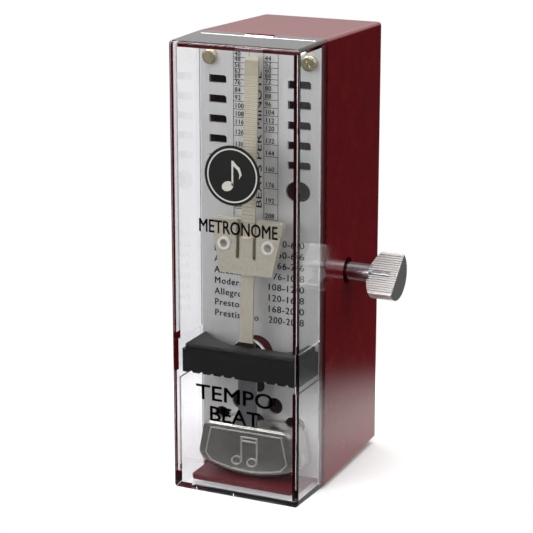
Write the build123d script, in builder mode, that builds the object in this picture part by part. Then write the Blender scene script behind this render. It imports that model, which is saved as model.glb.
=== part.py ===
from build123d import *
import math
import os

os.makedirs("parts", exist_ok=True)

# Pocket clockwork metronome. Millimetres, +X to the winding key, -Y to the front, +Z up.
# The origin is on the table, under the middle of the case.
case_w, case_h = 34.0, 112.0
cover_depth, body_depth = 15.8, 36.0
pad_h = 0.6
z0 = pad_h                                # underside of the case
yj = (cover_depth - body_depth) / 2       # plane where cover and housing meet
front_y = yj - cover_depth
back_y = yj + body_depth
mid_z = z0 + case_h / 2
wall = 1.6
body_draft, cover_draft = 0.85, 0.25      # per side, over the depth
cover_wall, cover_front = 1.4, 1.6

pivot_z = z0 + 34.0                       # pendulum axis, along Y at x = 0
lean = 3.0                                # degrees the rod leans back towards its top
rod_w, rod_t = 3.5, 0.6
rod_top = z0 + 107.6
rod_front_y = yj - 8.8                    # rod front face at rod_ref_z
rod_ref_z = z0 + 38.0

key_y, key_z = yj + 14.3, z0 + 52.4       # winding axis, along X
esc_y, esc_z = yj + 12.0, z0 + 34.0       # escape arbor, along X
great_teeth, pinion_teeth, second_teeth = 48, 8, 40
m_great, m_second = 0.5, 0.4
centre_great = m_great * (great_teeth + pinion_teeth) / 2
centre_second = m_second * (second_teeth + pinion_teeth) / 2

# the second arbor sits where both gear pairs are at their centre distances
span = math.hypot(esc_y - key_y, esc_z - key_z)
along = (centre_great ** 2 - centre_second ** 2 + span ** 2) / (2 * span)
aside = math.sqrt(centre_great ** 2 - along ** 2)
dir_y, dir_z = (esc_y - key_y) / span, (esc_z - key_z) / span
sec_y = key_y + along * dir_y - aside * dir_z
sec_z = key_z + along * dir_z + aside * dir_y


def xz(y):
    """Sketch plane facing the front: local x, z."""
    return Plane(origin=(0, y, 0), x_dir=(1, 0, 0), z_dir=(0, -1, 0))


def yz(x):
    """Sketch plane facing the key side: local y, z."""
    return Plane(origin=(x, 0, 0), x_dir=(0, 1, 0), z_dir=(1, 0, 0))


def xy(z):
    return Plane(origin=(0, 0, z))


def gear_outline(teeth, module, start, backlash, tip=0.9, root=1.25):
    """Involute spur outline about (0, 0); start is the angle of one tooth's middle."""
    pitch_r = module * teeth / 2
    base_r = pitch_r * math.cos(math.radians(20))
    tip_r, root_r = pitch_r + tip * module, pitch_r - root * module
    half_pitch = math.pi / 2 / teeth - backlash / 2 / pitch_r
    inv20 = math.tan(math.radians(20)) - math.radians(20)
    pts = []
    for n in range(teeth):
        mid = start + 2 * math.pi * n / teeth
        flank = []
        for i in range(5):
            r = max(base_r, root_r) + (tip_r - max(base_r, root_r)) * i / 4
            a = math.acos(min(1, base_r / r))
            flank.append((r, half_pitch + inv20 - (math.tan(a) - a)))
        foot = half_pitch + inv20
        left = [(root_r, foot)] + flank if base_r > root_r else flank
        for r, a in left:
            pts.append((r * math.cos(mid - a), r * math.sin(mid - a)))
        for r, a in reversed(left):
            pts.append((r * math.cos(mid + a), r * math.sin(mid + a)))
    return pts


# ---------------------------------------------------------------- housing
in_w, in_h = case_w - 2 * wall, case_h - 2 * wall
key_hole_r = 3.3

with BuildPart() as housing:
    with BuildSketch(xz(yj)):
        with Locations((0, mid_z)):
            RectangleRounded(case_w, case_h, 0.9)
    with BuildSketch(xz(back_y)):
        with Locations((0, mid_z)):
            RectangleRounded(case_w - 2 * body_draft, case_h - 2 * body_draft, 0.9)
    loft()
    fillet(housing.faces().sort_by(Axis.Y)[-1].edges(), 0.8)
    with BuildSketch(xz(yj - 0.01)):
        with Locations((0, mid_z)):
            Rectangle(in_w, in_h)
    with BuildSketch(xz(back_y - wall)):
        with Locations((0, mid_z)):
            Rectangle(in_w - 2 * body_draft, in_h - 2 * body_draft)
    loft(mode=Mode.SUBTRACT)
    with BuildSketch(yz(12.0)):
        with Locations((key_y, key_z)):
            Circle(key_hole_r)
    extrude(amount=8, mode=Mode.SUBTRACT)

# ---------------------------------------------------------------- rubber base pad
pad_half = 13.0
pad_y0, pad_y1 = yj + 2.0, back_y - 3.0


def underside(y):
    """Height of the housing's underside, which rises to the back with the draft."""
    return z0 + body_draft * (y - yj) / body_depth


with BuildPart() as base_pad:
    with BuildSketch(yz(-pad_half)):
        with BuildLine():
            Polyline((pad_y0, 0), (pad_y1, 0), (pad_y1, underside(pad_y1)), (pad_y0, underside(pad_y0)),
                     close=True)
        make_face()
    extrude(amount=2 * pad_half)
    fillet(base_pad.edges().filter_by(Axis.Z), 2.5)

# ---------------------------------------------------------------- openings in the plate and frame
slot_w, slot_h, slot_pitch, slot_x = 4.6, 1.9, 4.85, 10.36
first_slot_top = z0 + 102.0
slot_places = [(x, first_slot_top - row * slot_pitch - slot_h / 2) for row in range(5) for x in (-slot_x, slot_x)]
round_holes = [(2.5, [(-10.1, z0 + 75.3), (10.1, z0 + 75.3)]),
               (2.1, [(-4.75, z0 + 20.5), (4.75, z0 + 20.5), (-9.6, z0 + 16.2), (9.6, z0 + 16.2)]),
               (2.0, [(0, z0 + 15.8), (0, z0 + 25.3)])]

# ---------------------------------------------------------------- front frame that closes the housing
spigot = 1.4                              # how far the frame stands into the cover
frame_back = 1.4
tongue_w, tongue_y = 27.2, yj - 11.8
tab_w = 7.0
arc_clear_r = 31.2
tenon_zs = (z0 + 33.0, z0 + 58.0)
tenon_x, tenon_len = 12.0, 6.0
bridge_screw_x, bridge_screw_z = 13.7, z0 + 33.0
plate_screw_x, plate_screw_z = 12.3, z0 + 106.4

with BuildPart() as front_frame:
    with BuildSketch(xz(yj + frame_back)):
        with Locations((0, mid_z)):
            Rectangle(in_w - 0.1, in_h - 0.1)
    extrude(amount=frame_back)
    with BuildSketch(xz(yj)):
        with Locations((0, mid_z)):
            RectangleRounded(in_w, in_h, 0.5)
    extrude(amount=spigot)
    # shallow wells behind the openings of the scale plate
    for low, high in ((z0 + 7.0, z0 + 28.4), (z0 + 70.5, z0 + 104.0)):
        with BuildSketch(xz(yj)):
            with Locations((0, (low + high) / 2)):
                Rectangle(27.0, high - low)
        extrude(amount=spigot, mode=Mode.SUBTRACT)
    # and each opening goes on through the frame, a little larger
    with BuildSketch(xz(yj + frame_back)):
        with Locations(*slot_places):
            Rectangle(slot_w + 0.8, slot_h + 0.8)
        for r, places in round_holes:
            with Locations(*places):
                Circle(r + 0.3)
    extrude(amount=frame_back + spigot, mode=Mode.SUBTRACT)
    # base tongue under the lower weight, dished to clear its arc
    with BuildSketch(xy(z0 + 1.8)):
        with Locations((0, (tongue_y + yj - spigot) / 2)):
            Rectangle(tongue_w, yj - spigot - tongue_y)
        chamfer(vertices().group_by(Axis.Y)[0], 0.6)
    extrude(amount=1.2)
    with BuildSketch(xz(yj - spigot)):
        with Locations((0, pivot_z)):
            Circle(arc_clear_r)
    extrude(amount=12, mode=Mode.SUBTRACT)
    # tab that fills the notch in the cover's top wall
    with BuildSketch(xy(z0 + case_h - wall)):
        with Locations((0, yj - 0.8)):
            Rectangle(tab_w, 1.6)
    extrude(amount=wall - 0.3)
    with BuildSketch(xz(yj + 2)):
        with Locations((0, pivot_z)):
            Circle(1.5)
        with Locations((-bridge_screw_x, bridge_screw_z), (bridge_screw_x, bridge_screw_z)):
            Circle(0.8)
        with Locations((-plate_screw_x, plate_screw_z), (plate_screw_x, plate_screw_z)):
            Circle(0.8)
    extrude(amount=5, mode=Mode.SUBTRACT)
    for x in (-tenon_x, tenon_x):
        for z in tenon_zs:
            with BuildSketch(xz(yj + frame_back)):
                with Locations((x, z)):
                    Rectangle(1.0, tenon_len)
            extrude(amount=1.0, mode=Mode.SUBTRACT)

# ---------------------------------------------------------------- scale plate
plate_t, plate_w = 0.8, 30.0
plate_low, plate_high = z0 + 3.05, z0 + 110.0
plate_front = yj - spigot - plate_t

with BuildPart() as scale_plate:
    with BuildSketch(xz(yj - spigot)):
        with Locations((0, (plate_low + plate_high) / 2)):
            Rectangle(plate_w, plate_high - plate_low)
        with Locations(*slot_places):
            Rectangle(slot_w, slot_h, mode=Mode.SUBTRACT)
        for r, places in round_holes:
            with Locations(*places):
                Circle(r, mode=Mode.SUBTRACT)
        with Locations((0, pivot_z)):
            Circle(4.25, mode=Mode.SUBTRACT)
        with Locations((-bridge_screw_x, bridge_screw_z), (bridge_screw_x, bridge_screw_z)):
            Circle(0.8, mode=Mode.SUBTRACT)
        with Locations((-plate_screw_x, plate_screw_z), (plate_screw_x, plate_screw_z)):
            Circle(0.8, mode=Mode.SUBTRACT)
    extrude(amount=plate_t)
    # one rounded corner on each slot, as punched
    corners = []
    for edge in scale_plate.edges().filter_by(Axis.Y):
        c = edge.center()
        for x, z in slot_places:
            if abs(c.X - (x + slot_w / 2)) < 0.01 and abs(c.Z - (z + slot_h / 2)) < 0.01:
                corners.append(edge)
    fillet(corners, 0.7)

# ---------------------------------------------------------------- scale plate screws
with BuildPart() as plate_screws:
    for x in (-plate_screw_x, plate_screw_x):
        with BuildSketch(xz(plate_front)):
            with Locations((x, plate_screw_z)):
                Circle(1.95)
        extrude(amount=1.0)
        with BuildSketch(xz(plate_front)):
            with Locations((x, plate_screw_z)):
                Circle(0.8)
        extrude(amount=-3.4)
    heads = plate_screws.faces().sort_by(Axis.Y)[0:2]
    fillet(heads.edges(), 0.6)
    for x in (-plate_screw_x, plate_screw_x):
        with BuildSketch(xz(plate_front - 1.0)):
            with Locations((x, plate_screw_z)):
                Rectangle(2.0, 0.45, rotation=30)
                Rectangle(0.45, 2.0, rotation=30)
        extrude(amount=-0.5, mode=Mode.SUBTRACT)

# ---------------------------------------------------------------- bridge bar
bar_low, bar_shoulder, bar_top = z0 + 30.2, z0 + 36.0, z0 + 37.3
bar_half = 15.1
arbor_r = 1.0
run = 0.05                                # radial running clearance
bar_back = [(12.4, -2.2), (12.0, -7.8), (10.8, -9.1), (-3.6, -9.1), (-6.6, -7.8), (-9.9, -5.9), (-14.0, -2.2)]
bar_plan = [(-15.1, -13.0), (-14.6, -13.3), (14.6, -13.3), (15.1, -13.0), (15.1, -2.2)] + bar_back
bar_plan += [(-15.1, -2.2)]
lip_plan = [(-14.3, -12.9), (-14.0, -13.1), (14.0, -13.1), (14.3, -12.9), (14.3, -2.2)] + bar_back
lip_plan += [(-14.3, -2.2)]

with BuildPart() as bridge_bar:
    with BuildSketch(xy(bar_low)):
        with BuildLine():
            Polyline([(x, yj + y) for x, y in bar_plan], close=True)
        make_face()
    extrude(amount=bar_shoulder - bar_low)
    with BuildSketch(xy(bar_shoulder)):
        with BuildLine():
            Polyline([(x, yj + y) for x, y in lip_plan], close=True)
        make_face()
    extrude(amount=bar_top - bar_shoulder)
    fillet(bridge_bar.faces().sort_by(Axis.Z)[-1].edges().filter_by(Axis.X).sort_by(Axis.Y)[0], 0.6)
    with BuildSketch(xz(yj - 12.1)):
        with Locations((0, pivot_z)):
            Circle(arbor_r + run)
    extrude(amount=-4, mode=Mode.SUBTRACT)
    with BuildSketch(xz(yj - 2.2)):
        with Locations((-bridge_screw_x, bridge_screw_z), (bridge_screw_x, bridge_screw_z)):
            Circle(0.8)
    extrude(amount=4.6, mode=Mode.SUBTRACT)

    # arched notches along the lower front edge
    notch_pitch, notch_r = 2.85, 0.5
    notch_xs = [-12.7 + notch_pitch * i for i in range(5)] + [7.3 + notch_pitch * i for i in range(3)]
    with BuildSketch(xz(yj - 11.9)):
        with Locations(*[(x, bar_low) for x in notch_xs]):
            Circle(notch_r)
    extrude(amount=2, mode=Mode.SUBTRACT)

# ---------------------------------------------------------------- bridge bar screws
with BuildPart() as bridge_screws:
    with BuildSketch(xz(yj + frame_back)):
        with Locations((-bridge_screw_x, bridge_screw_z), (bridge_screw_x, bridge_screw_z)):
            Circle(0.8)
    extrude(amount=frame_back + 2.2 + 4.4)
    with BuildSketch(xz(yj + frame_back + 1.0)):
        with Locations((-bridge_screw_x, bridge_screw_z), (bridge_screw_x, bridge_screw_z)):
            Circle(1.15)
    extrude(amount=1.0)

# ---------------------------------------------------------------- clear front cover
cover_half_in = 14.95                     # inside half width in front of the spigot
cover_floor, cover_roof = z0 + 1.6, z0 + case_h - 1.8
spigot_room = 2.5                         # depth of the thinner rim round the frame's spigot
pocket_low, pocket_high = z0 + 28.9, z0 + 38.8
pocket_half = 15.5                        # side pockets that the ends of the bridge bar slide into
inner_front = front_y + cover_front

with BuildPart() as front_cover:
    with BuildSketch(xz(yj)):
        with Locations((0, mid_z)):
            RectangleRounded(case_w, case_h, 0.9)
    with BuildSketch(xz(front_y)):
        with Locations((0, mid_z)):
            RectangleRounded(case_w - 2 * cover_draft, case_h - 2 * cover_draft, 0.9)
    loft()
    fillet(front_cover.faces().sort_by(Axis.Y)[0].edges(), 0.7)
    with BuildSketch(xz(yj)):
        with Locations((0, mid_z)):
            Rectangle(case_w - 2 * cover_wall, case_h - 2 * cover_wall)
    extrude(amount=spigot_room, mode=Mode.SUBTRACT)
    with BuildSketch(xz(yj)):
        with Locations((0, (cover_floor + cover_roof) / 2)):
            Rectangle(2 * cover_half_in, cover_roof - cover_floor)
        with Locations((0, (pocket_low + pocket_high) / 2)):
            Rectangle(2 * pocket_half, pocket_high - pocket_low)
    extrude(amount=yj - inner_front, mode=Mode.SUBTRACT)
    with BuildSketch(xy(z0 + case_h - 3)):
        with Locations((0, yj - 0.5)):
            Rectangle(tab_w + 0.3, 2.6)
    extrude(amount=4, mode=Mode.SUBTRACT)
    # three moulding marks in the lower front edge
    with BuildSketch(xz(inner_front - 0.2)):
        with Locations(*[(x, z0 + 0.5) for x in (-10.5, -0.4, 13.6)]):
            Rectangle(0.3, 1.4)
    extrude(amount=3, mode=Mode.SUBTRACT)

# ---------------------------------------------------------------- pendulum arbor
arbor_front, arbor_back = yj - 11.9, yj + 22.6

with BuildPart() as pendulum_arbor:
    with BuildSketch(xz(arbor_back)):
        with Locations((0, pivot_z)):
            Circle(arbor_r)
    extrude(amount=arbor_back - arbor_front)

# ---------------------------------------------------------------- hub
with BuildPart() as hub:
    with BuildSketch(xz(yj - 6.4)):
        with Locations((0, pivot_z)):
            Circle(4.7)
    extrude(amount=0.9)
    fillet(hub.edges().filter_by(GeomType.CIRCLE).sort_by(Axis.Y)[0], 0.25)
    with BuildSketch(xz(yj - 4.6)):
        with Locations((0, pivot_z)):
            Circle(2.2)
    extrude(amount=1.8)
    with BuildSketch(xz(yj)):
        with Locations((0, pivot_z)):
            Circle(arbor_r)
    extrude(amount=9, mode=Mode.SUBTRACT)

# ---------------------------------------------------------------- pendulum rod
rod_plane = Plane(origin=(0, rod_front_y, rod_ref_z), x_dir=(1, 0, 0),
                  z_dir=(0, -math.cos(math.radians(lean)), math.sin(math.radians(lean))))
rod_low = -1.7                            # along the rod from rod_ref_z
rod_len = (rod_top - rod_ref_z) / math.cos(math.radians(lean)) - rod_low

with BuildPart() as pendulum_rod:
    with BuildSketch(rod_plane):
        with Locations((0, rod_low + rod_len / 2)):
            Rectangle(rod_w, rod_len)
        chamfer(vertices().group_by(Axis.Z)[-1], 0.5)
    extrude(amount=-rod_t)

# ---------------------------------------------------------------- lower strip
strip_front, strip_t, strip_w = yj - 8.2, 0.9, 4.8
strip_low, strip_high = z0 + 8.0, z0 + 36.4

with BuildPart() as lower_strip:
    with BuildSketch(xz(strip_front + strip_t)):
        with Locations((0, (strip_low + strip_high) / 2)):
            Rectangle(strip_w, strip_high - strip_low)
        with Locations((0, pivot_z)):
            Circle(arbor_r, mode=Mode.SUBTRACT)
        with Locations((0, z0 + 11.0)):
            Circle(0.9, mode=Mode.SUBTRACT)
    extrude(amount=strip_t)

# ---------------------------------------------------------------- rod socket
with BuildPart() as rod_socket:
    with BuildSketch(xz(strip_front)):
        with Locations((0, z0 + 34.9)):
            Rectangle(3.9, 6.6)
    extrude(amount=0.76)
    with BuildSketch(rod_plane):
        with Locations((0, rod_low + 10)):
            Rectangle(rod_w, 20)
    extrude(amount=-3, mode=Mode.SUBTRACT)
    with BuildSketch(xz(strip_front)):
        with Locations((0, pivot_z)):
            Circle(arbor_r)
    extrude(amount=3, mode=Mode.SUBTRACT)

# ---------------------------------------------------------------- lower weight
weight_front, weight_back = yj - 8.8, yj - 3.2
weight_arc_r = 30.7


def weight_corner(x):
    return z0 + 34.0 - math.sqrt(weight_arc_r ** 2 - x ** 2)


with BuildPart() as lower_weight:
    with BuildSketch(xz(weight_back)):
        with BuildLine():
            a = (-12.2, weight_corner(12.2))
            b = (12.2, weight_corner(12.2))
            ThreePointArc(a, (0, pivot_z - weight_arc_r), b)
            Polyline(b, (13.4, z0 + 8.0), (11.7, z0 + 16.8), (-11.7, z0 + 16.8), (-13.4, z0 + 8.0), a)
        make_face()
        fillet(vertices().group_by(Axis.Z)[-1], 2.4)
        fillet(vertices().group_by(Axis.Z)[0], 1.2)
    extrude(amount=weight_back - weight_front)
    fillet(lower_weight.faces().sort_by(Axis.Y)[0].edges(), 1.1)
    # raised border line on the front
    with BuildSketch(xz(weight_front)):
        with BuildLine():
            a = (-9.6, z0 + 6.3)
            b = (9.6, z0 + 6.3)
            ThreePointArc(a, (0, z0 + 4.75), b)
            Polyline(b, (11.2, z0 + 8.3), (9.7, z0 + 15.2), (-9.7, z0 + 15.2), (-11.2, z0 + 8.3), a)
        outer = make_face()
        offset(outer, amount=-0.35, mode=Mode.SUBTRACT)
    extrude(amount=0.18)
    with BuildSketch(xz(strip_front + strip_t)):
        with Locations((0, strip_low + 10)):
            Rectangle(strip_w, 20)
    extrude(amount=strip_t, mode=Mode.SUBTRACT)
    with BuildSketch(xz(weight_back)):
        with Locations((0, z0 + 11.0)):
            Circle(0.9)
    extrude(amount=weight_back - strip_front, mode=Mode.SUBTRACT)

# ---------------------------------------------------------------- weight pin
with BuildPart() as weight_pin:
    with BuildSketch(xz(weight_back)):
        with Locations((0, z0 + 11.0)):
            Circle(0.9)
    extrude(amount=weight_back - strip_front)

# ---------------------------------------------------------------- pallets
pallet_ys = (esc_y - 6.0, esc_y + 6.0)

with BuildPart() as pallets:
    for y, up in zip(pallet_ys, (1, -1)):
        with BuildSketch(xz(y + 0.7)):
            with Locations((0, pivot_z)):
                Circle(1.6)
            with Locations(Location((0, pivot_z, 0), (0, 0, 50 * up))):
                with Locations((1.6, 0)):
                    Rectangle(1.6, 0.5)
            with Locations((0, pivot_z)):
                Circle(arbor_r, mode=Mode.SUBTRACT)
        extrude(amount=1.4)

# ---------------------------------------------------------------- sliding weight, front plate
slider_plane = Plane(origin=(0, rod_front_y, rod_ref_z), x_dir=(1, 0, 0), z_dir=rod_plane.z_dir)
slide_low = (55.3 - 38.0) / math.cos(math.radians(lean))
slide_high = (68.5 - 38.0) / math.cos(math.radians(lean))
slider_t, slider_gap = 0.85, 0.12
eyelet_x, eyelet_v = 5.8, 24.5
trapezoid = [(-6.9, slide_low), (6.9, slide_low), (9.6, slide_high), (-9.6, slide_high)]

with BuildPart() as slider_front:
    with BuildSketch(slider_plane.offset(slider_gap)):
        with BuildLine():
            Polyline(trapezoid, close=True)
        make_face()
        fillet(vertices(), 0.9)
        with Locations((0, slide_high - 2)):
            Rectangle(5.3, 4.01, mode=Mode.SUBTRACT)
        for x in (-2.2, 2.2):
            with Locations((x, slide_high - 5.5)):
                Rectangle(0.9, 7.0, mode=Mode.SUBTRACT)
            with Locations((x, slide_high - 9.0)):
                Circle(0.45, mode=Mode.SUBTRACT)
        with Locations((-eyelet_x, eyelet_v), (eyelet_x, eyelet_v)):
            Circle(1.3, mode=Mode.SUBTRACT)
    extrude(amount=slider_t)
    with BuildSketch(slider_plane.offset(slider_gap + slider_t)):
        with Locations((0, slide_high - 4.4)):
            Rectangle(2.4, 0.5)
    extrude(amount=0.35)

# ---------------------------------------------------------------- sliding weight, back plate
back_depth = rod_t + slider_gap           # behind the rod's front face

with BuildPart() as slider_back:
    with BuildSketch(slider_plane.offset(-back_depth)):
        with BuildLine():
            Polyline([(x * 0.97, v) for x, v in trapezoid], close=True)
        make_face()
        fillet(vertices(), 0.9)
    extrude(amount=-slider_t)
    with BuildSketch(slider_plane.offset(-back_depth)):
        with Locations((-eyelet_x, eyelet_v), (eyelet_x, eyelet_v)):
            Circle(2.4)
    extrude(amount=back_depth + slider_gap)
    with BuildSketch(slider_plane.offset(1)):
        with Locations((-eyelet_x, eyelet_v), (eyelet_x, eyelet_v)):
            Circle(1.3)
    extrude(amount=-4, mode=Mode.SUBTRACT)

# ---------------------------------------------------------------- eyelets
with BuildPart() as eyelets:
    low_n, high_n = -back_depth - slider_t, slider_gap + slider_t
    with BuildSketch(slider_plane.offset(low_n)):
        with Locations((-eyelet_x, eyelet_v), (eyelet_x, eyelet_v)):
            Circle(1.3)
    extrude(amount=high_n - low_n)
    for n, grow in ((high_n, 0.3), (low_n, -0.2)):
        with BuildSketch(slider_plane.offset(n)):
            with Locations((-eyelet_x, eyelet_v), (eyelet_x, eyelet_v)):
                Circle(1.65)
        extrude(amount=grow)
    with BuildSketch(slider_plane.offset(2)):
        with Locations((-eyelet_x, eyelet_v), (eyelet_x, eyelet_v)):
            Circle(1.0)
    extrude(amount=-5, mode=Mode.SUBTRACT)

# ---------------------------------------------------------------- movement side plates
side_x, side_t = 11.5, 1.0
side_y = (yj + frame_back, yj + 31.0)
side_z = (z0 + 25.0, z0 + 66.5)
pillar_places = [(yj + 5.0, z0 + 63.5), (yj + 28.0, z0 + 63.5), (yj + 5.0, z0 + 28.0), (yj + 28.0, z0 + 28.0)]
pillar_r, screw_r = 1.5, 0.8
key_arbor_r, key_pivot_r = 2.2, 1.5
train_r = 0.8
cock_y, cock_z, cock_t = yj + 21.0, pivot_z - 0.1, 1.6
potence_posts = [(yj + 9.5, z0 + 27.4), (yj + 8.6, z0 + 41.2)]

with BuildPart() as left_plate:
    with BuildSketch(yz(-side_x - side_t)):
        with Locations((sum(side_y) / 2, sum(side_z) / 2)):
            RectangleRounded(side_y[1] - side_y[0], side_z[1] - side_z[0], 1.5)
        with Locations(*[(side_y[0], z) for z in tenon_zs]):
            Rectangle(2.0, tenon_len - 0.1)
        with Locations((key_y, key_z)):
            Circle(2.6, mode=Mode.SUBTRACT)
        with Locations((sec_y, sec_z)):
            Circle(train_r + run, mode=Mode.SUBTRACT)
        with Locations(*pillar_places):
            Circle(screw_r, mode=Mode.SUBTRACT)
    extrude(amount=side_t)

with BuildPart() as right_plate:
    with BuildSketch(yz(side_x)):
        with Locations((sum(side_y) / 2, sum(side_z) / 2)):
            RectangleRounded(side_y[1] - side_y[0], side_z[1] - side_z[0], 1.5)
        with Locations(*[(side_y[0], z) for z in tenon_zs]):
            Rectangle(2.0, tenon_len - 0.1)
        with Locations((key_y, key_z)):
            Circle(3.2, mode=Mode.SUBTRACT)
        with Locations((sec_y, sec_z), (esc_y, esc_z)):
            Circle(train_r + run, mode=Mode.SUBTRACT)
        with Locations(*pillar_places):
            Circle(screw_r, mode=Mode.SUBTRACT)
    extrude(amount=side_t)

# ---------------------------------------------------------------- bushes for the winding arbor
with BuildPart() as arbor_bushes:
    with BuildSketch(yz(-side_x - side_t)):
        with Locations((key_y, key_z)):
            Circle(2.6)
            Circle(key_pivot_r + run, mode=Mode.SUBTRACT)
    extrude(amount=side_t + 0.4)
    with BuildSketch(yz(side_x)):
        with Locations((key_y, key_z)):
            Circle(3.2)
            Circle(key_arbor_r + run, mode=Mode.SUBTRACT)
    extrude(amount=side_t + 0.4)

# ---------------------------------------------------------------- pillars
with BuildPart() as pillars:
    with BuildSketch(yz(-side_x)):
        with Locations(*pillar_places):
            Circle(pillar_r)
    extrude(amount=2 * side_x)
    with BuildSketch(yz(-side_x)):
        with Locations(*pillar_places):
            Circle(screw_r)
    extrude(amount=3, mode=Mode.SUBTRACT)
    with BuildSketch(yz(side_x - 3)):
        with Locations(*pillar_places):
            Circle(screw_r)
    extrude(amount=3, mode=Mode.SUBTRACT)

# ---------------------------------------------------------------- pillar screws
with BuildPart() as pillar_screws:
    for side in (-1, 1):
        with BuildSketch(yz(side * (side_x - 2.6))):
            with Locations(*pillar_places):
                Circle(screw_r)
        extrude(amount=side * (side_t + 2.6))
        with BuildSketch(yz(side * (side_x + side_t))):
            with Locations(*pillar_places):
                Circle(1.5)
        extrude(amount=side * 0.8)

# ---------------------------------------------------------------- rear cock for the pendulum arbor
with BuildPart() as rear_cock:
    with BuildSketch(xz(cock_y + cock_t)):
        with Locations(((-side_x + 2.4) / 2, cock_z)):
            Rectangle(side_x + 2.4, 3.6)
        with Locations((0, pivot_z)):
            Circle(arbor_r + run, mode=Mode.SUBTRACT)
    extrude(amount=cock_t)
    with BuildSketch(yz(-side_x)):
        with Locations((cock_y + 0.5, cock_z)):
            Rectangle(6.0, 3.6)
    extrude(amount=1.2)

# ---------------------------------------------------------------- potence for the escape arbor
with BuildPart() as potence:
    with BuildSketch(yz(6.3)):
        with BuildLine():
            Polyline([potence_posts[0], (esc_y, esc_z), potence_posts[1]])
        trace(line_width=3.2)
        with Locations((esc_y, esc_z)):
            Circle(2.0)
        with Locations(*potence_posts):
            Circle(1.6)
        with Locations((esc_y, esc_z)):
            Circle(train_r + run, mode=Mode.SUBTRACT)
    extrude(amount=0.8)
    with BuildSketch(yz(7.1)):
        with Locations(*potence_posts):
            Circle(1.2)
    extrude(amount=side_x - 7.1)

# ---------------------------------------------------------------- mainspring
coils, spring_in, spring_out, spring_t = 7, 2.9, 10.0, 0.3
hook = pillar_places[0]

line = []
steps = coils * 20
for i in range(steps + 1):
    ang = math.radians(135) - 2 * math.pi * coils * (1 - i / steps)
    r = spring_in + (spring_out - spring_in) * i / steps
    line.append((key_y + r * math.cos(ang), key_z + r * math.sin(ang)))
line.append((hook[0] + pillar_r + 0.1, hook[1] - pillar_r * 0.4))
left_side, right_side = [], []
for i, (y, z) in enumerate(line):
    a, b = line[max(i - 1, 0)], line[min(i + 1, len(line) - 1)]
    ty, tz = b[0] - a[0], b[1] - a[1]
    n = math.hypot(ty, tz)
    left_side.append((y - tz / n * spring_t / 2, z + ty / n * spring_t / 2))
    right_side.append((y + tz / n * spring_t / 2, z - ty / n * spring_t / 2))

with BuildPart() as mainspring:
    with BuildSketch(yz(-5.4)):
        with BuildLine():
            Polyline(left_side + right_side[::-1], close=True)
        make_face()
    extrude(amount=10.4)

# ---------------------------------------------------------------- winding arbor
grip_x0, grip_x1 = 22.2, 30.0
tang_r = 1.0

with BuildPart() as winding_arbor:
    with BuildSketch(yz(-side_x - side_t)):
        with Locations((key_y, key_z)):
            Circle(key_pivot_r)
    extrude(amount=2.0)
    with BuildSketch(yz(-side_x - side_t + 2.0)):
        with Locations((key_y, key_z)):
            Circle(key_arbor_r)
    extrude(amount=grip_x0 + 0.8 + side_x + side_t - 2.0)
    with BuildSketch(yz(grip_x0 + 0.8)):
        with Locations((key_y, key_z)):
            Circle(tang_r)
    extrude(amount=5.0)

# ---------------------------------------------------------------- ratchet wheel
ratchet_teeth, ratchet_r = 16, 5.0
ratchet_pts = []
for n in range(ratchet_teeth):
    a = 2 * math.pi * n / ratchet_teeth
    for r, turn in ((ratchet_r, a), (ratchet_r - 0.8, a + 0.03)):
        ratchet_pts.append((key_y + r * math.cos(turn), key_z + r * math.sin(turn)))

with BuildPart() as ratchet_wheel:
    with BuildSketch(yz(-9.4)):
        with BuildLine():
            Polyline(ratchet_pts, close=True)
        make_face()
        with Locations((key_y, key_z)):
            Circle(key_arbor_r, mode=Mode.SUBTRACT)
    extrude(amount=0.9)

# ---------------------------------------------------------------- key grip
grip_r, flat_off, grip_turn = 6.05, 0.6, 46.4    # grip_turn: lean of the flat from upright
dome = 1.8                                       # depth of the domed inner end
dome_r = (grip_r ** 2 + dome ** 2) / (2 * dome)
dome_mid = dome_r - math.sqrt(dome_r ** 2 - grip_r ** 2 / 4)

with BuildPart() as key_grip:
    with BuildSketch(Plane.XY):
        with BuildLine():
            Polyline((grip_x0, 0), (grip_x1, 0), (grip_x1, grip_r), (grip_x0 + dome, grip_r))
            ThreePointArc((grip_x0 + dome, grip_r), (grip_x0 + dome_mid, grip_r / 2), (grip_x0, 0))
        make_face()
    revolve(axis=Axis.X)
    with BuildSketch(yz(grip_x0 - 1)):
        with Locations((-flat_off - 10, 0)):
            Rectangle(20, 40)
    extrude(amount=grip_x1 - grip_x0 + 2, mode=Mode.SUBTRACT)
    # fine ridges along the flat
    with BuildSketch(yz(grip_x0 - 1)):
        for i in range(-8, 9):
            with Locations((-flat_off, i * 0.65)):
                Rectangle(0.3, 0.3, rotation=45)
    extrude(amount=grip_x1 - grip_x0 + 2, mode=Mode.SUBTRACT)
    with BuildSketch(yz(grip_x0 - 1)):
        Circle(tang_r)
    extrude(amount=6.81, mode=Mode.SUBTRACT)
    with BuildSketch(yz(grip_x0 - 1)):
        Circle(key_arbor_r)
    extrude(amount=1.8, mode=Mode.SUBTRACT)
key_grip_part = key_grip.part.rotate(Axis.X, -grip_turn).moved(Location((0, key_y, key_z)))

# ---------------------------------------------------------------- great wheel
great_x, great_t = -7.6, 1.0
click_a = math.radians(200)
click_c = (key_y + 7.4 * math.cos(click_a), key_z + 7.4 * math.sin(click_a))
to_second = math.atan2(sec_z - key_z, sec_y - key_y)

with BuildPart() as great_wheel:
    with BuildSketch(yz(great_x)):
        with BuildLine():
            Polyline([(key_y + y, key_z + z) for y, z in gear_outline(great_teeth, m_great, to_second, 0.12)],
                     close=True)
        make_face()
        with Locations((key_y, key_z)):
            Circle(key_arbor_r + run, mode=Mode.SUBTRACT)
            with PolarLocations(8.3, 4, start_angle=45 + 20):
                Circle(1.9, mode=Mode.SUBTRACT)
    extrude(amount=great_t)

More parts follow.
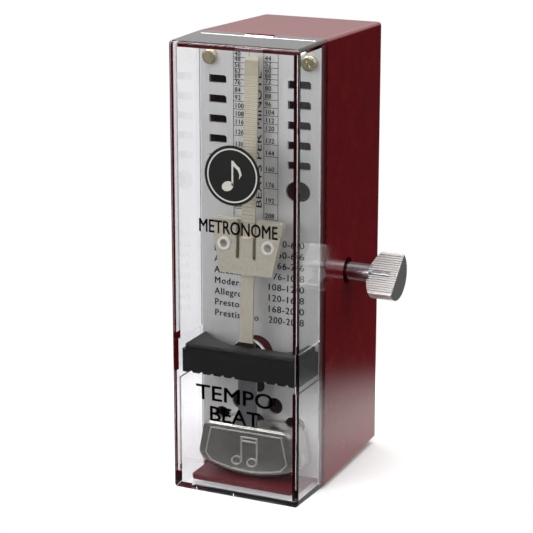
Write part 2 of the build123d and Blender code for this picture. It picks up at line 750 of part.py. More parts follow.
# ---------------------------------------------------------------- click on the great wheel
with BuildPart() as click:
    with BuildSketch(yz(-9.3)):
        with Locations(click_c):
            Circle(1.2)
        tip = (key_y + 5.35 * math.cos(click_a + 0.75), key_z + 5.35 * math.sin(click_a + 0.75))
        with BuildLine():
            Polyline([click_c, tip])
        trace(line_width=0.7)
        with Locations(click_c):
            Circle(0.6, mode=Mode.SUBTRACT)
    extrude(amount=0.8)

with BuildPart() as click_stud:
    with BuildSketch(yz(great_x)):
        with Locations(click_c):
            Circle(0.6)
    extrude(amount=-2.2)
    with BuildSketch(yz(-9.8)):
        with Locations(click_c):
            Circle(1.0)
    extrude(amount=-0.4)

with BuildPart() as click_spring:
    with BuildSketch(yz(-9.3)):
        with BuildLine():
            CenterArc((key_y, key_z), 9.4, math.degrees(click_a) - 70, 58)
        trace(line_width=0.3)
        with Locations((key_y + 9.4 * math.cos(click_a - math.radians(70)),
                        key_z + 9.4 * math.sin(click_a - math.radians(70)))):
            Circle(0.8)
    extrude(amount=0.8)
    with BuildSketch(yz(-8.5)):
        with Locations((key_y + 9.4 * math.cos(click_a - math.radians(70)),
                        key_z + 9.4 * math.sin(click_a - math.radians(70)))):
            Circle(0.6)
    extrude(amount=0.9)

# ---------------------------------------------------------------- second arbor, wheel and pinion
from_great = math.atan2(key_z - sec_z, key_y - sec_y)
to_escape = math.atan2(esc_z - sec_z, esc_y - sec_y)
second_x, second_t = 8.0, 0.8

with BuildPart() as second_arbor:
    with BuildSketch(yz(-side_x - side_t)):
        with Locations((sec_y, sec_z)):
            Circle(train_r)
    extrude(amount=2 * (side_x + side_t))

with BuildPart() as second_pinion:
    with BuildSketch(yz(-8.3)):
        with BuildLine():
            pts = gear_outline(pinion_teeth, m_great, from_great + math.pi / pinion_teeth, 0.12)
            Polyline([(sec_y + y, sec_z + z) for y, z in pts], close=True)
        make_face()
        with Locations((sec_y, sec_z)):
            Circle(train_r, mode=Mode.SUBTRACT)
    extrude(amount=2.4)

with BuildPart() as second_wheel:
    with BuildSketch(yz(second_x)):
        with BuildLine():
            pts = gear_outline(second_teeth, m_second, to_escape, 0.1)
            Polyline([(sec_y + y, sec_z + z) for y, z in pts], close=True)
        make_face()
        with Locations((sec_y, sec_z)):
            Circle(train_r, mode=Mode.SUBTRACT)
            with PolarLocations(5.0, 4):
                Circle(1.8, mode=Mode.SUBTRACT)
    extrude(amount=second_t)

# ---------------------------------------------------------------- escape arbor, pinion and crown wheel
crown_teeth, crown_tip_x, crown_root_x, crown_back_x = 15, 2.15, 3.4, 5.7
crown_r = 6.0

with BuildPart() as escape_arbor:
    with BuildSketch(yz(4.9)):
        with Locations((esc_y, esc_z)):
            Circle(train_r)
    extrude(amount=side_x + side_t - 4.9)

with BuildPart() as escape_pinion:
    with BuildSketch(yz(7.6)):
        with BuildLine():
            back = to_escape + math.pi + math.pi / pinion_teeth
            Polyline([(esc_y + y, esc_z + z) for y, z in gear_outline(pinion_teeth, m_second, back, 0.1)],
                     close=True)
        make_face()
        with Locations((esc_y, esc_z)):
            Circle(train_r, mode=Mode.SUBTRACT)
    extrude(amount=1.6)

with BuildPart() as crown_wheel:
    with BuildSketch(yz(crown_tip_x)):
        with Locations((esc_y, esc_z)):
            Circle(crown_r + 0.4)
            Circle(crown_r - 0.4, mode=Mode.SUBTRACT)
    extrude(amount=crown_back_x - crown_tip_x)
    with BuildSketch(yz(crown_back_x - 0.8)):
        with Locations((esc_y, esc_z)):
            Circle(crown_r + 0.4)
            Circle(train_r, mode=Mode.SUBTRACT)
    extrude(amount=0.8)
    # saw teeth: one wedge cut per tooth
    for n in range(crown_teeth):
        a = 360 / crown_teeth * n
        cut = Plane(origin=(crown_tip_x, esc_y, esc_z), x_dir=(1, 0, 0),
                    z_dir=(0, math.cos(math.radians(a)), math.sin(math.radians(a))))
        with BuildSketch(cut.offset(crown_r - 1.2)):
            with BuildLine():
                Polyline((-0.5, 0.0), (crown_root_x - crown_tip_x, 0.0), (0.0, 2.1), (-0.5, 2.1), close=True)
            make_face()
        extrude(amount=2.4, mode=Mode.SUBTRACT)

# ---------------------------------------------------------------- export
nodes = {
    "housing": housing.part, "base_pad": base_pad.part, "front_frame": front_frame.part,
    "scale_plate": scale_plate.part, "plate_screws": plate_screws.part,
    "bridge_bar": bridge_bar.part, "bridge_screws": bridge_screws.part,
    "left_plate": left_plate.part, "right_plate": right_plate.part, "arbor_bushes": arbor_bushes.part,
    "pillars": pillars.part, "pillar_screws": pillar_screws.part, "rear_cock": rear_cock.part,
    "potence": potence.part, "mainspring": mainspring.part, "front_cover": front_cover.part,
    "pendulum_arbor": pendulum_arbor.part, "hub": hub.part, "rod_socket": rod_socket.part,
    "pendulum_rod": pendulum_rod.part, "lower_strip": lower_strip.part, "lower_weight": lower_weight.part,
    "weight_pin": weight_pin.part, "pallets": pallets.part, "slider_front": slider_front.part,
    "slider_back": slider_back.part, "eyelets": eyelets.part, "winding_arbor": winding_arbor.part,
    "ratchet_wheel": ratchet_wheel.part, "key_grip": key_grip_part, "great_wheel": great_wheel.part,
    "click": click.part, "click_stud": click_stud.part, "click_spring": click_spring.part,
    "second_arbor": second_arbor.part, "second_wheel": second_wheel.part, "second_pinion": second_pinion.part,
    "escape_arbor": escape_arbor.part, "escape_pinion": escape_pinion.part, "crown_wheel": crown_wheel.part,
}
for name, part in nodes.items():
    part.label = name
    export_step(part, f"parts/{name}.step")
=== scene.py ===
import bpy, bmesh, math
from mathutils import Matrix, Vector


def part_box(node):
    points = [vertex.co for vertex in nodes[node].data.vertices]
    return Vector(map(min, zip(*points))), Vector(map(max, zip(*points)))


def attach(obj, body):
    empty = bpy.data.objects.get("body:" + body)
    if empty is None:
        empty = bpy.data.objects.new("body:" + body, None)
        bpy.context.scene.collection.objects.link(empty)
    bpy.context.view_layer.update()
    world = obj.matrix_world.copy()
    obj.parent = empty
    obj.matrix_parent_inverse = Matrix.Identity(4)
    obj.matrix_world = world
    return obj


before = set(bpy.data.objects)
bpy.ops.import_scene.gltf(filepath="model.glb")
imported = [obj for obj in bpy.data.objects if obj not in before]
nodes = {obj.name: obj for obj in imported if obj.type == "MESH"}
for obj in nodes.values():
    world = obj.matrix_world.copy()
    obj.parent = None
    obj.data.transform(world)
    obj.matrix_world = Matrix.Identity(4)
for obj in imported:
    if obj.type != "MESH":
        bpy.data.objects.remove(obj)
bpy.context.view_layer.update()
MM = 0.001

# ------------------------------------------------------------------ places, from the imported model
plate_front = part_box("scale_plate")[0].y
cover_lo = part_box("front_cover")[0]
weight_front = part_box("lower_weight")[0].y
arbor_lo, arbor_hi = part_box("pendulum_arbor")
case_z = cover_lo.z
pivot_z = (arbor_lo.z + arbor_hi.z) / 2
print_gap = 0.03 * MM                     # the scale's print stands this far off the plate
cover_gap = 0.02 * MM                     # and the lettering off the cover, and the rod's marks off the rod


# ------------------------------------------------------------------ material helpers
def rgb(code):
    """An sRGB hex colour as linear values."""
    vals = [int(code[i:i + 2], 16) / 255 for i in (1, 3, 5)]
    return tuple(v / 12.92 if v <= 0.04045 else ((v + 0.055) / 1.055) ** 2.4 for v in vals) + (1.0,)


def add(owner, kind, inputs={}, stops=(), **settings):
    """Adds a node to a material or the world. An input is another node's output or a plain value; the stops
    are those of a colour ramp, each a place and a hex colour or a grey level."""
    node = owner.node_tree.nodes.new("ShaderNode" + kind)
    for setting, value in settings.items():
        setattr(node, setting, value)
    for socket, value in inputs.items():
        if isinstance(value, bpy.types.NodeSocket):
            owner.node_tree.links.new(value, node.inputs[socket])
        else:
            node.inputs[socket].default_value = value
    for i, (place, shade) in enumerate(stops):
        node.color_ramp.elements[i].position = place
        node.color_ramp.elements[i].color = rgb(shade) if isinstance(shade, str) else (shade, shade, shade, 1)
    return node


def new_material(name):
    mat = bpy.data.materials.new(name)
    mat.use_nodes = True
    mat.node_tree.nodes.clear()
    return mat


RAGGED = 0.55                             # how much of its finer detail a pattern keeps


def per_metre(widths):
    """How often a pattern comes in a metre along x, y and z, from its widths in millimetres."""
    return [1 / (w * MM) for w in widths]


def surface(name, light, dark, rough, grain, metallic=0.0, bump=0.05, grit=None, specular=0.5):
    """A real surface. Its colour wanders between two close ones and its gloss with it, over patches of the
    grain's size along x, y and z in millimetres. Its bumps are as wide as the grit, or a third of the grain."""
    mat = new_material(name)
    coords = add(mat, "TexCoord").outputs["Object"]
    patterns = []
    for widths, detail in ((grain, 4.0), (grit or [w / 3 for w in grain], 3.0)):
        place = add(mat, "Mapping", {"Vector": coords, "Scale": per_metre(widths)})
        patterns.append(add(mat, "TexNoise", {"Vector": place.outputs[0], "Scale": 1.0, "Detail": detail,
                                              "Roughness": RAGGED}).outputs["Fac"])
    patches, bumps = patterns
    colour = add(mat, "ValToRGB", {"Fac": patches}, [(0.3, dark), (0.7, light)])
    gloss = add(mat, "ValToRGB", {"Fac": patches}, [(0.25, rough[0]), (0.75, rough[1])])
    relief = add(mat, "Bump", {"Height": bumps, "Strength": bump, "Distance": 0.2 * MM})
    body = add(mat, "BsdfPrincipled", {
        "Base Color": colour.outputs[0], "Roughness": gloss.outputs[0], "Normal": relief.outputs[0],
        "Metallic": metallic, "Specular IOR Level": specular})
    add(mat, "OutputMaterial", {"Surface": body.outputs[0]})
    return mat


# ------------------------------------------------------------------ materials
# Sizes of the patterns, in millimetres along x, y and z. Ripples and patches are as wide as real ones. Grit,
# haze and tool lines are really a few hundredths of a millimetre wide, too fine to show, and are drawn some ten
# times as coarse.
MOULDED = [3.846] * 3                     # the slow ripple of a moulded wall
BURNISHED = [2.0] * 3                     # the patches that burnishing leaves
CHROMED = [1.667] * 3                     # a faint wave in the plating
POLISHED = [1.111] * 3                    # the wipes of a polishing cloth
TURNED = [0.8333] * 3                     # the haze of a lathe's marks
ERODED = [0.7143] * 3                     # the craters of a spark-eroded tool
SATIN = [0.6667] * 3                      # a tumbled or rubbery skin
FINE = [0.4] * 3                          # the tooth of ink, lacquer and cast metal
BRUSHED_UPWARDS = [0.2381, 0.2381, 4.082]
ROLLED_UPWARDS = [0.2222, 0.2222, 2.778]
ROLLED_FLAT = [0.9091, 0.2273, 0.9091]
MILLED_ACROSS = [2.667, 0.2222, 0.2222]
RIPPLED_CLEAR = [45.45, 45.45, 90.91]     # the very slow ripple of the cover's thin walls
HAZE, MOTTLE = 2.5, 16.67                 # of the clear cover, and of the paper underneath

# ABS moulded against a polished tool: deep wet gloss, with the slow ripple of a moulded wall.
ruby = surface("ruby_abs_plastic", "#7A0F19", "#6C0B14", (0.13, 0.2), MOULDED)
# The same ABS behind the cover, darkened as painted shade; from an unpolished part of the tool: duller, with
# hardly a sheen.
ruby_painted_shade = surface("ruby_abs_painted_shade", "#580D17", "#4A0A12", (0.3, 0.4), MOULDED, bump=0.08, specular=0.15)
# Moulded rubber: dead matt and a little grainy.
rubber = surface("black_rubber", "#242424", "#161616", (0.75, 0.9), SATIN, bump=0.4)
# Plastic moulded against a spark-eroded tool: an even black with a fine leathery grain.
black_plastic = surface("black_moulded_plastic", "#0C0C0C", "#070707", (0.36, 0.46), ERODED, bump=0.25,
                        specular=0.12)
# Aluminium sheet, brushed upwards and anodised: a pale satin face that glows along the brush lines.
aluminium = surface("satin_anodised_aluminium", "#CFCFCD", "#C6C6C4", (0.38, 0.48), BRUSHED_UPWARDS, 0.6, 0.12)
# Strip drawn lengthwise and nickel plated: warm, soft lights that run along it.
rod_nickel = surface("satin_nickel_strip", "#CBC5B1", "#BDB7A4", (0.34, 0.44), ROLLED_UPWARDS, 0.7, 0.08)
# Nickel over a tumbled stamping: warm and matt.
nickel_matte = surface("matte_nickel_plate", "#C9C3B2", "#BBB5A5", (0.36, 0.46), SATIN, 0.8, 0.12)
# Nickel polished after plating: warm, with sharp lights.
nickel = surface("polished_nickel", "#D2C9AE", "#C2B894", (0.14, 0.24), POLISHED, 1.0, 0.06)
# Rolled eyelets, plated in a barrel: pale, with blurred lights.
nickel_rivet = surface("nickel_plated_rivet", "#EDEAE2", "#DFDCD4", (0.3, 0.4), SATIN, 0.6)
# Steel, polished and chromed: a cool mirror.
chrome = surface("chromed_steel", "#DADADA", "#CFCFD0", (0.06, 0.12), CHROMED, 1.0, 0.03)
# Steel turned in a lathe: bright, with a slight haze.
steel = surface("bright_turned_steel", "#BEBEC0", "#A9A9AC", (0.16, 0.26), TURNED, 1.0, 0.1)
# Rolled steel strip: darker, with soft lights that run along it.
strip_steel = surface("satin_strip_steel", "#8A8A8C", "#78787B", (0.3, 0.42), ROLLED_UPWARDS, 0.9, 0.1)
# Zinc cast in a die and burnished: a heavy grey that mirrors the room in broad patches.
zinc = surface("burnished_cast_zinc", "#A9A7A2", "#A19F9A", (0.19, 0.24), BURNISHED, 1.0, 0.02, FINE)
# The same zinc on the raised lines, coloured brighter as a painted highlight, with softer lights.
zinc_painted_highlight = surface("cast_zinc_painted_highlight", "#D8D6D1", "#CFCDC8", (0.3, 0.4), BURNISHED, 0.9, 0.02, FINE)
# Spring steel, tempered to blue: a dark glossy blue.
blued = surface("blued_spring_steel", "#4A5468", "#3A4254", (0.22, 0.34), POLISHED, 1.0, 0.08)
# Rolled clock brass, grained one way: a yellow metal with soft lights.
brass = surface("clock_brass", "#D0AD62", "#B99650", (0.22, 0.34), ROLLED_FLAT, 1.0, 0.1)
# Aluminium, milled across the grip: pale, with tool marks across it.
key_alu = surface("milled_aluminium", "#E2E0DD", "#CFCDCA", (0.3, 0.42), MILLED_ACROSS, 0.85, 0.2)
# Screen inks, flat and nearly matt: black for the cover and the scale, and off-white over the black.
ink = surface("black_screen_ink", "#141415", "#0C0C0D", (0.45, 0.6), FINE)
scale_ink = surface("black_scale_ink", "#161617", "#0E0E0F", (0.5, 0.65), FINE)
pale_ink = surface("pale_screen_ink", "#E9E7DC", "#DAD8CD", (0.45, 0.6), FINE)
# Thin lacquer in the rod's marks: a dull tan, a little darker than the nickel.
notch_ink = surface("rod_mark_lacquer", "#A39C88", "#968F7C", (0.5, 0.65), FINE)


def clear_plastic():
    """Polystyrene moulded clear: glassy walls that the eye sees through, with a very slow ripple. Its shadow
    is let through, as thin clear walls hardly dim the light."""
    mat = new_material("clear_polystyrene")
    coords = add(mat, "TexCoord").outputs["Object"]
    slow = add(mat, "Mapping", {"Vector": coords, "Scale": per_metre(RIPPLED_CLEAR)}).outputs[0]
    ripple = add(mat, "TexNoise", {"Vector": slow, "Scale": 1.0, "Detail": 2.0, "Roughness": RAGGED})
    relief = add(mat, "Bump", {"Height": ripple.outputs["Fac"], "Strength": 0.04, "Distance": 0.3 * MM})
    haze = add(mat, "TexNoise", {"Vector": coords, "Scale": 1 / (HAZE * MM), "Detail": 4.0,
                                 "Roughness": RAGGED})
    gloss = add(mat, "ValToRGB", {"Fac": haze.outputs["Fac"]}, [(0.4, 0.0), (0.8, 0.02)])
    wall = add(mat, "BsdfPrincipled", {
        "Roughness": gloss.outputs[0], "Normal": relief.outputs[0], "IOR": 1.55,
        "Base Color": rgb("#FCFCFE"), "Transmission Weight": 1.0})
    let_through = add(mat, "BsdfTransparent", {"Color": (0.95, 0.95, 0.96, 1)})
    rays = add(mat, "LightPath")
    shadow = rays.outputs["Is Shadow Ray"]
    both = add(mat, "MixShader", {0: shadow, 1: wall.outputs[0], 2: let_through.outputs[0]})
    add(mat, "OutputMaterial", {"Surface": both.outputs[0]})
    return mat


paint = {
    ruby: ["housing"],
    # the front frame behind the cover takes the red that is darkened as painted shade
    ruby_painted_shade: ["front_frame"],
    rubber: ["base_pad"],
    black_plastic: ["bridge_bar", "rod_socket"],
    aluminium: ["scale_plate"],
    nickel: ["plate_screws", "bridge_screws", "pillar_screws"],
    nickel_rivet: ["eyelets"],
    brass: ["left_plate", "right_plate", "arbor_bushes", "rear_cock", "potence", "great_wheel", "second_wheel",
            "crown_wheel"],
    steel: ["pillars", "pendulum_arbor", "weight_pin", "winding_arbor", "ratchet_wheel", "click", "click_stud",
            "second_arbor", "second_pinion", "escape_arbor", "escape_pinion"],
    blued: ["mainspring", "click_spring", "pallets"],
    chrome: ["hub"],
    rod_nickel: ["pendulum_rod"],
    strip_steel: ["lower_strip"],
    zinc: ["lower_weight"],
    nickel_matte: ["slider_front", "slider_back"],
    key_alu: ["key_grip"],
    clear_plastic(): ["front_cover"],
}
for mat, names in paint.items():
    for name in names:
        o = nodes[name]
        for s in o.material_slots:
            s.material = mat
        if not o.material_slots:
            o.data.materials.append(mat)


# ------------------------------------------------------------------ printing
INK_THICK = 0.02 * MM
CAPITAL_SHARE = 0.69                      # a capital's share of the letter size


def make_object(name, bm, mat, body, out=Vector((0, -1, 0)), thick=INK_THICK):
    """A mesh of flat shapes, thickened outwards and riding on a body."""
    raised = bmesh.ops.extrude_face_region(bm, geom=bm.faces[:])["geom"]
    bmesh.ops.translate(bm, vec=out * thick, verts=[v for v in raised if isinstance(v, bmesh.types.BMVert)])
    bmesh.ops.recalc_face_normals(bm, faces=bm.faces[:])
    me = bpy.data.meshes.new(name)
    bm.to_mesh(me)
    bm.free()
    me.materials.append(mat)
    o = bpy.data.objects.new(name, me)
    bpy.context.scene.collection.objects.link(o)
    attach(o, body)


def face_matrix(origin, up=Vector((0, 0, 1))):
    """Local x stays x, y becomes up and z comes out of the face."""
    along = Vector((1, 0, 0))
    m = Matrix((along, up, along.cross(up))).transposed().to_4x4()
    m.translation = origin
    return m


def moved(face, x, y, turn=0.0):
    """A place on a face, x and y millimetres from its origin, turned by so many degrees."""
    return face @ Matrix.Translation((x * MM, y * MM, 0)) @ Matrix.Rotation(math.radians(turn), 4, "Z")


def text_into(bm, words, capital, place, align="CENTER", squeeze=1.0, bold=0.0, spacing=1.0, fit=None):
    """Adds flat lettering. The height of a capital, how far bold goes and the width that it fits are in
    millimetres. Bold lettering is the same outline laid down again, shifted a little each way."""
    cu = bpy.data.curves.new("letters", "FONT")
    cu.body = words
    cu.align_x = align
    cu.align_y = "BOTTOM_BASELINE"
    cu.size = capital * MM / CAPITAL_SHARE
    cu.space_character = spacing
    cu.resolution_u = 3
    o = bpy.data.objects.new("letters", cu)
    bpy.context.scene.collection.objects.link(o)
    bpy.context.view_layer.update()
    me = bpy.data.meshes.new_from_object(o)
    if fit:
        squeeze = fit * MM / (max(v.co.x for v in me.vertices) - min(v.co.x for v in me.vertices))
    me.transform(Matrix.Diagonal((squeeze, 1, 1, 1)))
    shifts = [(-1, -1), (1, 1), (-1, 1), (1, -1)] if capital > 2 else [(-1, -0.5), (1, 0.5)]
    for dx, dy in shifts if bold else [(0, 0)]:
        copy = me.copy()
        copy.transform(moved(place, dx * bold, dy * bold))
        bm.from_mesh(copy)
        bpy.data.meshes.remove(copy)
    bpy.data.objects.remove(o)
    bpy.data.curves.remove(cu)
    bpy.data.meshes.remove(me)


def sheet_into(bm, face, points):
    """A flat sheet with these corners, in millimetres on the face."""
    bm.faces.new([bm.verts.new(face @ Vector((x * MM, y * MM, 0))) for x, y in points])


def bar_into(bm, face, x0, x1, y0, y1):
    """A flat bar from x0 to x1 and from y0 to y1."""
    sheet_into(bm, face, ((x0, y0), (x1, y0), (x1, y1), (x0, y1)))


def band_into(bm, face, outer, inner):
    """A flat band between two closed lines with the same number of corners."""
    rims = [[bm.verts.new(face @ Vector((x * MM, y * MM, 0))) for x, y in line] for line in (outer, inner)]
    for i in range(len(outer)):
        j = (i + 1) % len(outer)
        bm.faces.new((rims[0][i], rims[0][j], rims[1][j], rims[1][i]))


def oval(radius, corners=96, wide=1.0):
    """The corners of a circle, or of an oval that is so many times as wide as it is high."""
    turn = 2 * math.pi / corners
    return [(wide * radius * math.cos(turn * i), radius * math.sin(turn * i)) for i in range(corners)]


def mark_height(beats):
    """Height in millimetres above the pivot of a weight that beats so often a minute: a two-mass pendulum."""
    drive, reach, inertia = 4.1426e6, 75.78, 2865.0
    q = beats * beats
    return (-drive + math.sqrt(drive * drive - 4 * q * (q * inertia - drive * reach))) / (2 * q)


tempos = [*range(40, 62, 2), *range(63, 75, 3), *range(76, 124, 4), *range(126, 150, 6), *range(152, 216, 8)]
printed = [beats for beats in tempos if beats % 4 == 0 or beats > 60]

# the ladder of beats on the scale plate: two columns, counted from the pivot
ladder = face_matrix(Vector((0, plate_front - print_gap, pivot_z)))
left_column, right_column = (-6.2, -2.0), (1.8, 5.5)
ladder_top = 75.0
ladder_line = 0.13
number_capital, number_inset = 1.15, 0.3
bm = bmesh.new()
for x in left_column + right_column:
    bar_into(bm, ladder, x - ladder_line / 2, x + ladder_line / 2, mark_height(tempos[-1]), ladder_top)
for column, (x0, x1) in ((printed[0::2], left_column), (printed[1::2], right_column)):
    for beats in column:
        y = mark_height(beats)
        bar_into(bm, ladder, x0, x1, y - ladder_line / 2, y + ladder_line / 2)
        corner = moved(ladder, x0 + number_inset, y + number_inset)
        text_into(bm, str(beats), number_capital, corner, "LEFT", 0.95, 0.035, 1.05)
text_into(bm, "BEATS PER MINUTE", 1.5, moved(ladder, 1.2, 53, 90), bold=0.03, fit=33)

# the names of the tempos with their beats, one row each, in the plate's outer columns
table = [("Largo", "40-60"), ("Larghetto", "60-66"), ("Adagio", "66-76"), ("Andante", "76-108"),
         ("Moderato", "108-120"), ("Allegro", "120-168"), ("Presto", "168-200"), ("Prestissimo", "200-208")]
top_row, row_step, row_capital = 61.3, 2.77, 1.65
row_left, row_right = -11.6, 11.4
character = 8.2 / 7                       # the width of one character of a span
plate_face = face_matrix(Vector((0, plate_front - print_gap, case_z)))
for i, (term, span) in enumerate(table):
    y = top_row - row_step * i
    text_into(bm, term, row_capital, moved(plate_face, row_left, y), "LEFT", 0.93, 0.05, 1.15)
    text_into(bm, span, row_capital, moved(plate_face, row_right, y), "RIGHT", bold=0.05, spacing=1.1,
              fit=character * len(span))
make_object("scale_print", bm, scale_ink, "case")

# lettering on the cover
cover_face = face_matrix(Vector((0, cover_lo.y - cover_gap, case_z)))
bm = bmesh.new()
text_into(bm, "METRONOME", 3.1, moved(cover_face, 1.1, 66.8), bold=0.06, fit=20.4)
text_into(bm, "TEMPO", 3.7, moved(cover_face, 0.1, 24.6), bold=0.07, fit=20.6)
text_into(bm, "BEAT", 3.7, moved(cover_face, -0.1, 19.4), bold=0.07, fit=13.2)
make_object("cover_lettering", bm, ink, "cover")

# the round badge on the cover: a black ground, a thin ring and one music note
badge = moved(cover_face, -0.3, 81.0)
bm = bmesh.new()
sheet_into(bm, badge, oval(7.2))
make_object("badge_ground", bm, ink, "cover")
badge_lift = 0.025 * MM                   # just clear of the ground's ink
badge_top = badge @ Matrix.Translation((0, 0, badge_lift))
note = moved(badge_top, -1.2, -2.6)
bm = bmesh.new()
band_into(bm, badge_top, oval(6.5), oval(6.15))
sheet_into(bm, moved(note, 0, 0, 25), oval(1.15, 40, 1.35))
bar_into(bm, note, 1.05, 1.5, 0.2, 6.2)
sheet_into(bm, note, ((1.5, 6.2), (1.5, 5.0), (2.6, 4.1), (3.1, 3.0), (3.0, 1.9), (3.7, 3.0), (3.2, 4.6),
                      (2.2, 5.4)))
make_object("badge_note", bm, pale_ink, "cover")

# marks across the rod, a wide one for each beat and a narrow one between, closer together towards the top
lean = math.radians(3)
rod_dir = Vector((0, math.sin(lean), math.cos(lean)))
rod_out = Vector((0, -math.cos(lean), math.sin(lean)))
rod_foot = Vector((0, -18.9 * MM, case_z + 38.0 * MM))
rod_face = face_matrix(rod_foot + rod_out * cover_gap, rod_dir)
foot_height = 4.0                         # of the rod's foot above the pivot, along the rod
half_rod = 1.7                            # half the width of a mark
beyond = 216                              # the beat that would follow the fastest one
bm = bmesh.new()
for beats, following in zip(tempos, tempos[1:] + [beyond]):
    for part, width in ((0.0, 0.16), (0.5, 0.1)):
        y = mark_height(beats + (following - beats) * part) - foot_height
        bar_into(bm, rod_face, -half_rod, half_rod, y - width / 2, y + width / 2)
make_object("rod_marks", bm, notch_ink, "pendulum", rod_out)

# a raised pair of notes on the front of the lower weight, coloured with the painted highlight
weight_middle = 10.4                      # above the case's foot
border_height, relief = 0.18, 0.22        # how far the border line and the notes stand out
motif = face_matrix(Vector((0, weight_front + border_height * MM, case_z + weight_middle * MM)))
bm = bmesh.new()
for x in (-2.6, 1.6):
    band_into(bm, moved(motif, x, -3.0, 20), oval(1.15, 40, 1.3), oval(0.85, 40, 1.3))
    bar_into(bm, motif, x + 1.2, x + 1.5, -2.7, 3.2)
bar_into(bm, motif, -1.4, 3.1, 3.2, 3.5)
bar_into(bm, motif, -1.1, 2.8, 2.2, 2.5)
make_object("weight_motif", bm, zinc_painted_highlight, "pendulum", thick=relief * MM)

# the border line that stands on the weight, coloured bright as a painted highlight: heights are above the
# case's foot
arc_radius, arc_middle = 30.5, 35.25
border = [(x, arc_middle - math.sqrt(arc_radius ** 2 - x * x)) for x in (-9.6, -7, -4.5, -2, 0, 2, 4.5, 7, 9.6)]
border += [(11.2, 8.3), (9.7, 15.2), (-9.7, 15.2), (-11.2, 8.3)]
rims = [[(x * narrower, (z - weight_middle) * lower) for x, z in border]
        for narrower, lower in ((0.997, 0.994), (0.972, 0.944))]
bm = bmesh.new()
band_into(bm, face_matrix(Vector((0, weight_front, case_z + weight_middle * MM))), *rims)
make_object("weight_border_painted_highlight", bm, zinc_painted_highlight, "pendulum")

# ------------------------------------------------------------------ stage, light and camera
paper_middle = (-5, 30, 0)
paper_fade, paper_r = 30, 75              # where the paper starts to fade and where it ends, from its middle


def paper_disc():
    """A round sheet of white uncoated paper, dead matt with a faint mottle. Its edge fades out, so that it
    meets the white backdrop unseen."""
    mat = new_material("pale_paper")
    coords = add(mat, "TexCoord").outputs["Object"]
    from_middle = add(mat, "VectorMath", {0: coords, 1: [v * MM for v in paper_middle]}, operation="SUBTRACT")
    away = add(mat, "VectorMath", {0: from_middle.outputs[0]}, operation="LENGTH")
    fade = add(mat, "MapRange", {"Value": away.outputs["Value"], "From Min": paper_fade * MM,
                                 "From Max": paper_r * MM}, interpolation_type="SMOOTHSTEP")
    mottle = add(mat, "TexNoise", {"Vector": coords, "Scale": 1 / (MOTTLE * MM), "Detail": 4.0,
                                   "Roughness": RAGGED})
    white = add(mat, "ValToRGB", {"Fac": mottle.outputs["Fac"]}, [(0.3, "#FBFBFB"), (0.7, "#FFFFFF")])
    paper = add(mat, "BsdfDiffuse", {"Color": white.outputs[0]})
    faded = add(mat, "BsdfTransparent")
    both = add(mat, "MixShader", {0: fade.outputs["Result"], 1: paper.outputs[0], 2: faded.outputs[0]})
    add(mat, "OutputMaterial", {"Surface": both.outputs[0]})
    bm = bmesh.new()
    bmesh.ops.create_circle(bm, cap_ends=True, segments=96, radius=1.3 * paper_r * MM)
    me = bpy.data.meshes.new("paper_disc")
    bm.to_mesh(me)
    bm.free()
    me.materials.append(mat)
    o = bpy.data.objects.new("paper_disc", me)
    bpy.context.scene.collection.objects.link(o)


paper_disc()

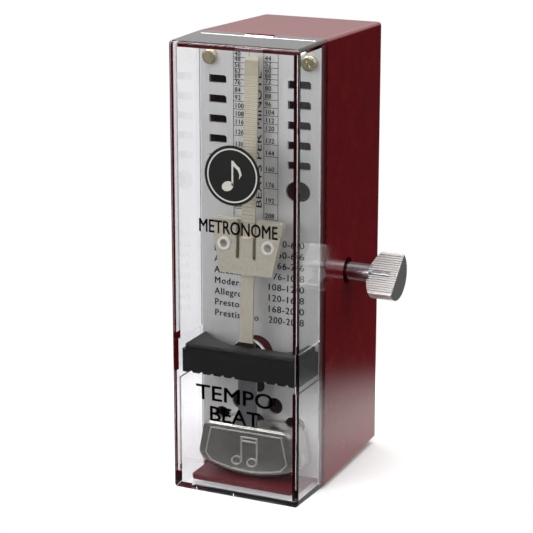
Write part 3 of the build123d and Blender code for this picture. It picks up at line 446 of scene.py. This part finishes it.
# The backdrop is white, straight on and through the clear cover; what the object itself mirrors is a bright
# ceiling over a dark room. Each row below is what is read, where it starts and ends to count, and what the two
# ends are worth: how high a ray looks, how often it was bounced, and how often it was mirrored, as light is
# when it is piped along the inside of a clear wall.
world = bpy.data.worlds.new("studio")
bpy.context.scene.world = world
world.use_nodes = True
world.node_tree.nodes.clear()
look = add(world, "TexCoord").outputs["Generated"]
heading = add(world, "SeparateXYZ", {0: look})
rays = add(world, "LightPath").outputs
bounces = add(world, "Math", {0: rays["Glossy Depth"], 1: rays["Diffuse Depth"]}, operation="ADD")
room, straight, piped = [
    add(world, "MapRange", {"Value": read, "From Min": start, "From Max": end, "To Min": low, "To Max": high},
        interpolation_type="SMOOTHSTEP").outputs["Result"]
    for read, start, end, low, high in ((heading.outputs["Z"], -0.05, 0.25, 0.03, 0.95),
                                        (bounces.outputs[0], 0.2, 0.8, 1.0, 0.0),
                                        (rays["Glossy Depth"], 1.0, 2.0, 0.14, 0.95))]
glow = add(world, "Math", {0: straight, 1: piped}, operation="MAXIMUM")
through = add(world, "Math", {0: rays["Is Transmission Ray"], 1: glow.outputs[0]}, operation="MULTIPLY")
seen = add(world, "Math", {0: rays["Is Camera Ray"], 1: through.outputs[0]}, operation="MAXIMUM")
mirrored = add(world, "Background", {"Color": (1, 1, 1, 1), "Strength": room})
backdrop = add(world, "Background", {"Color": (1, 1, 1, 1), "Strength": 1.0})
sky = add(world, "MixShader", {0: seen.outputs[0], 1: mirrored.outputs[0], 2: backdrop.outputs[0]})
add(world, "OutputWorld", {"Surface": sky.outputs[0]})

# softboxes, in metres and watts, all turned to the middle of the object
middle = Vector((0, 0, 0.06))
for name, where, size, power in (("key_softbox", (-0.4, -0.35, 0.6), (0.3, 0.3), 1.6),
                                 ("top_softbox", (0.05, 0.0, 0.7), (0.5, 0.5), 2.6),
                                 ("front_softbox", (-0.25, -0.6, 0.25), (0.3, 0.2), 0.7)):
    li = bpy.data.lights.new(name, "AREA")
    li.shape = "RECTANGLE"
    li.size, li.size_y = size
    li.energy = power
    o = bpy.data.objects.new(name, li)
    o.location = where
    o.rotation_euler = (middle - Vector(where)).to_track_quat("-Z", "Y").to_euler()
    bpy.context.scene.collection.objects.link(o)

# the camera stands to the right, looks left and a little down
cam = bpy.data.cameras.new("camera")
cam.lens, cam.sensor_width = 129.1, 36.0
cam.clip_start, cam.clip_end = 0.01, 20
camera = bpy.data.objects.new("camera", cam)
pitch, yaw = math.radians(15.76), math.radians(25.08)
fwd = Vector((-math.sin(yaw) * math.cos(pitch), math.cos(yaw) * math.cos(pitch), -math.sin(pitch)))
camera.location = Vector((191.4, -416.6, 182.4)) * MM
camera.rotation_euler = fwd.to_track_quat("-Z", "Y").to_euler()
bpy.context.scene.collection.objects.link(camera)
bpy.context.scene.camera = camera
bpy.context.scene.view_settings.view_transform = "Standard"
